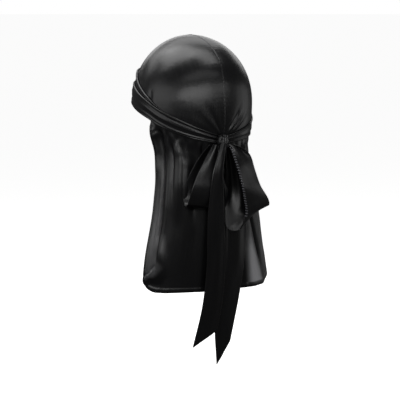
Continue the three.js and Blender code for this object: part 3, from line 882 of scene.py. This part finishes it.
def satin(name, dark, light, roughness, sheer_and_painted_backlight=0.0):
    """Polyester satin, woven with long floats along the strap. It gives the eye a soft, broad
    gloss that runs across the threads, thin streaks along them and a black that stays deep."""
    material, tree = blank_material(name)
    weave = add(tree, "ShaderNodeUVMap", {"uv_map": "Weave"}).outputs["UV"]

    def spots(across, length, detail, roughness=0.5):
        """Noise with spots this wide across the strap and this long along it."""
        scale = (1 / across, 1 / length, 1)
        spot = add(tree, "ShaderNodeMapping", None, {"Vector": weave, "Scale": scale})
        return add(tree, "ShaderNodeTexNoise", None, {
            "Vector": spot.outputs["Vector"], "Scale": 1.0, "Detail": detail, "Roughness": roughness,
        }).outputs["Fac"]

    def raised(height, strength, depth, under=None):
        """A bump on top of the one under it."""
        below = {"Normal": under} if under else {}
        return add(tree, "ShaderNodeBump", None, {
            "Height": height, "Strength": strength, "Distance": depth, **below,
        }).outputs["Normal"]

    # Slubs are 1.5 mm wide and 60 mm long. The floats are 0.12 mm apart in such satin and are
    # drawn 0.6 mm apart, so that they show close up. The cloth is rumpled every 14 to 26 mm.
    slubs = spots(1.5 * MM, 60 * MM, 3.0, 0.55)
    floats = spots(0.6 * MM, 7 * MM, 2.0)
    rumples = spots(14 * MM, 26 * MM, 3.0)
    colour = add(tree, "ShaderNodeMix", {"data_type": "RGBA"}, {0: slubs})
    colour.inputs["A"].default_value = linear(dark)
    colour.inputs["B"].default_value = linear(light)
    rough = add(tree, "ShaderNodeMapRange", None, {
        "Value": slubs, "From Min": 0.3, "From Max": 0.7,
        "To Min": roughness - 0.03, "To Max": roughness + 0.04,
    })
    rumpled = raised(rumples, 0.35, 0.8 * MM)
    streaked = raised(slubs, 0.25, 0.15 * MM, rumpled)
    woven = raised(floats, 0.3, 0.05 * MM, streaked)
    tangent = add(tree, "ShaderNodeTangent", {"direction_type": "UV_MAP", "uv_map": "Weave"})
    shader = add(tree, "ShaderNodeBsdfPrincipled", None, {
        "Base Color": colour.outputs["Result"],
        "Roughness": rough.outputs["Result"],
        "Normal": woven,
        "Tangent": tangent.outputs["Tangent"],
        "IOR": 1.5,
        "Anisotropic": 0.5,
    })
    surface = shader.outputs["BSDF"]
    if sheer_and_painted_backlight:
        # A translucent shader lets light through from behind, as strong as the vertex mask allows:
        # painted backlight in its strips, painted shade where the mask is near 0.
        single = add(tree, "ShaderNodeAttribute", {"attribute_name": "Sheer_and_painted_backlight"})
        through = add(tree, "ShaderNodeVectorMath", {"operation": "SCALE"}, {
            0: (sheer_and_painted_backlight, sheer_and_painted_backlight, sheer_and_painted_backlight * 1.02), "Scale": single.outputs["Fac"],
        })
        glow = add(tree, "ShaderNodeBsdfTranslucent", None, {"Color": through.outputs["Vector"]})
        surface = add(tree, "ShaderNodeAddShader", None, {0: surface, 1: glow.outputs[0]}).outputs[0]
    add(tree, "ShaderNodeOutputMaterial", None, {"Surface": surface})
    return material


def sewing_thread():
    """Twisted polyester thread. Its light grey is partly painted highlight, for the small points of light
    that the beads catch along a stitched edge.
    """
    material, tree = blank_material("polyester_sewing_thread_painted_glint")
    spot = add(tree, "ShaderNodeTexCoord").outputs["Object"]
    # The thread's twists are about 0.5 mm apart.
    twist = add(tree, "ShaderNodeTexNoise", None, {
        "Vector": spot, "Scale": 1 / (0.5 * MM), "Detail": 2.0,
    })
    bump = add(tree, "ShaderNodeBump", None, {
        "Height": twist.outputs["Fac"], "Strength": 0.4, "Distance": 0.1 * MM,
    })
    shader = add(tree, "ShaderNodeBsdfPrincipled", None, {
        # The thread's light grey is partly painted highlight, lighter than the thread itself.
        "Base Color": linear("#5f5f64"), "Roughness": 0.35, "Normal": bump.outputs["Normal"],
    })
    add(tree, "ShaderNodeOutputMaterial", None, {"Surface": shader.outputs["BSDF"]})
    return material


# Pieces

satin_face = satin("polyester_satin", "#070708", "#0f0f11", 0.31)
# The flap's satin, with painted backlight and painted shade through its vertex mask.
satin_single_painted_backlight = satin("polyester_satin_single_layer_painted_backlight", "#070708", "#0f0f11", 0.31, sheer_and_painted_backlight=0.32)
satin_hem = satin("polyester_satin_doubled", "#070708", "#0e0e10", 0.36)
stitch_thread = sewing_thread()


def keep(piece, node, material):
    """The piece takes its material, moves with the frame's one body and stands for its solid."""
    piece.data.materials.append(material)
    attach(piece, "root")
    if node:
        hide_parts(node)
    return piece


crown_left = keep(crown_panel(1), "crown_left_panel", satin_face)
crown_right = keep(crown_panel(-1), "crown_right_panel", satin_face)
seam = keep(centre_seam(), "crown_centre_seam", satin_hem)
hem = keep(front_hem(), "front_hem", satin_hem)
band = keep(forehead_band(), "forehead_band", satin_face)
flap = keep(neck_flap(), "neck_flap", satin_single_painted_backlight)
knot_piece = keep(knot(), "knot", satin_face)
left_loop = keep(
    bow_loop("bow_loop_left_satin", LEFT_LOOP_ROWS, LEFT_LOOP_LENGTH),
    "bow_loop_left", satin_face,
)
right_loop = keep(
    bow_loop("bow_loop_right_satin", RIGHT_LOOP_ROWS, RIGHT_LOOP_LENGTH),
    "bow_loop_right", satin_face,
)
left_end = keep(
    strap_end("strap_end_left_satin", LEFT_END_ROWS, LEFT_END_LENGTH, LEFT_END_CUT, 1),
    "strap_end_left", satin_face,
)
right_end = keep(
    strap_end("strap_end_right_satin", RIGHT_END_ROWS, RIGHT_END_LENGTH, RIGHT_END_CUT, 2),
    "strap_end_right", satin_face,
)
stitched_edge = keep(
    overlock("bow_loop_right_overlock", lambda u, v: loop_place(RIGHT_LOOP_ROWS, u, v), 1, 0.04, 0.66),
    None, stitch_thread,
)

# Floor, light and camera

FLOOR_LEVEL = -500 * MM
FLOOR_RADIUS = 30
ROOM_LIGHT = 0.07
VIEW_AZIMUTH = math.radians(152)
VIEW_ELEVATION = math.radians(5)
LENS = 240
SENSOR = 36
PIXEL = 1.38 * MM
PICTURE = 400
ORIGIN_PIXEL = Vector((190.5, 35.5))

disc = bmesh.new()
bmesh.ops.create_circle(disc, cap_ends=True, segments=128, radius=FLOOR_RADIUS)
floor = finished(disc, "floor")
floor.location.z = FLOOR_LEVEL
floor.visible_glossy = floor.visible_diffuse = False

pale = bpy.data.materials.new("opal_acrylic_light_table")
pale.use_nodes = True
opal = pale.node_tree.nodes["Principled BSDF"].inputs
opal["Base Color"].default_value = linear("#f2f2f0")
opal["Roughness"].default_value = 0.9
opal["Emission Color"].default_value = (1, 1, 1, 1)
opal["Emission Strength"].default_value = 0.9
floor.data.materials.append(pale)

world = bpy.data.worlds.new("studio")
bpy.context.scene.world = world
world.use_nodes = True
air = world.node_tree
air.nodes.clear()
seen = add(air, "ShaderNodeLightPath").outputs["Is Camera Ray"]
dim = add(air, "ShaderNodeBackground", None, {"Color": (1, 1, 1, 1), "Strength": ROOM_LIGHT})
white = add(air, "ShaderNodeBackground", None, {"Color": (1, 1, 1, 1), "Strength": 1.0})
both = add(air, "ShaderNodeMixShader", None, {"Fac": seen, 1: dim.outputs[0], 2: white.outputs[0]})
add(air, "ShaderNodeOutputWorld", None, {"Surface": both.outputs[0]})

towards_camera = Vector((
    math.sin(VIEW_AZIMUTH) * math.cos(VIEW_ELEVATION),
    -math.cos(VIEW_AZIMUTH) * math.cos(VIEW_ELEVATION),
    math.sin(VIEW_ELEVATION),
))
picture_right = Vector((math.cos(VIEW_AZIMUTH), math.sin(VIEW_AZIMUTH), 0))
picture_up = towards_camera.cross(picture_right)


def softbox(name, from_crown, size, brightness):
    """A flat light that faces the crown's middle from a place given to its right, above it and
    towards the camera, in metres. Its brightness is the light that each bit of it sends out."""
    middle = Vector((0, 0, -CROWN_HEIGHT))
    level = Vector((towards_camera.x, towards_camera.y, 0)).normalized()
    right, above, near = from_crown
    light = bpy.data.lights.new(name, "AREA")
    light.shape = "RECTANGLE"
    light.size, light.size_y = size
    light.energy = brightness * math.pi * size[0] * size[1]
    lamp = bpy.data.objects.new(name, light)
    offset = picture_right * right + Vector((0, 0, above)) + level * near
    lamp.location = middle + offset
    lamp.rotation_mode = "QUATERNION"
    lamp.rotation_quaternion = offset.to_track_quat("Z", "Y")
    lamp.visible_camera = False
    bpy.context.scene.collection.objects.link(lamp)
    return lamp


# Each softbox: its place to the crown's right, above it and near the camera, its size and light.
SoftBox = namedtuple("SoftBox", "name right above near width height brightness")
SOFT_BOXES = [
    SoftBox("overhead_left", -0.85, 1.45, -0.42, 1.1, 1.1, 3.3),
    SoftBox("overhead_right", 0.10, 1.40, 0.12, 0.8, 1.2, 3.0),
    SoftBox("overhead_back", -0.30, 1.30, -1.30, 1.8, 0.8, 1.4),
    SoftBox("back_left", -1.30, 1.00, -1.30, 1.0, 0.6, 1.2),
    SoftBox("back", 0.10, 0.50, -1.60, 1.8, 0.5, 1.4),
    SoftBox("near_left", -0.67, 0.08, 0.15, 0.6, 0.32, 1.1),
    SoftBox("near_front", -0.15, 0.12, 0.68, 0.88, 0.20, 3.0),
    SoftBox("near_right", 0.47, 0.12, 0.52, 0.5, 0.16, 1.3),
    SoftBox("right_side", 0.87, -0.05, -0.25, 0.7, 0.4, 0.6),
    SoftBox("front_fill", 0.00, 0.55, 0.70, 1.3, 0.2, 0.9),
]
for box in SOFT_BOXES:
    softbox(box.name, (box.right, box.above, box.near), (box.width, box.height), box.brightness)

camera_data = bpy.data.cameras.new("camera")
camera_data.lens = LENS
camera_data.sensor_width = SENSOR
camera = bpy.data.objects.new("camera", camera_data)
bpy.context.scene.collection.objects.link(camera)
bpy.context.scene.camera = camera
distance = PIXEL * PICTURE * LENS / SENSOR
aim = (
    picture_right * (PICTURE / 2 - ORIGIN_PIXEL.x) * PIXEL
    - picture_up * (PICTURE / 2 - ORIGIN_PIXEL.y) * PIXEL
)
camera.location = aim + towards_camera * distance
camera.rotation_mode = "QUATERNION"
camera.rotation_quaternion = towards_camera.to_track_quat("Z", "Y")
bpy.context.scene.view_settings.view_transform = "Standard"
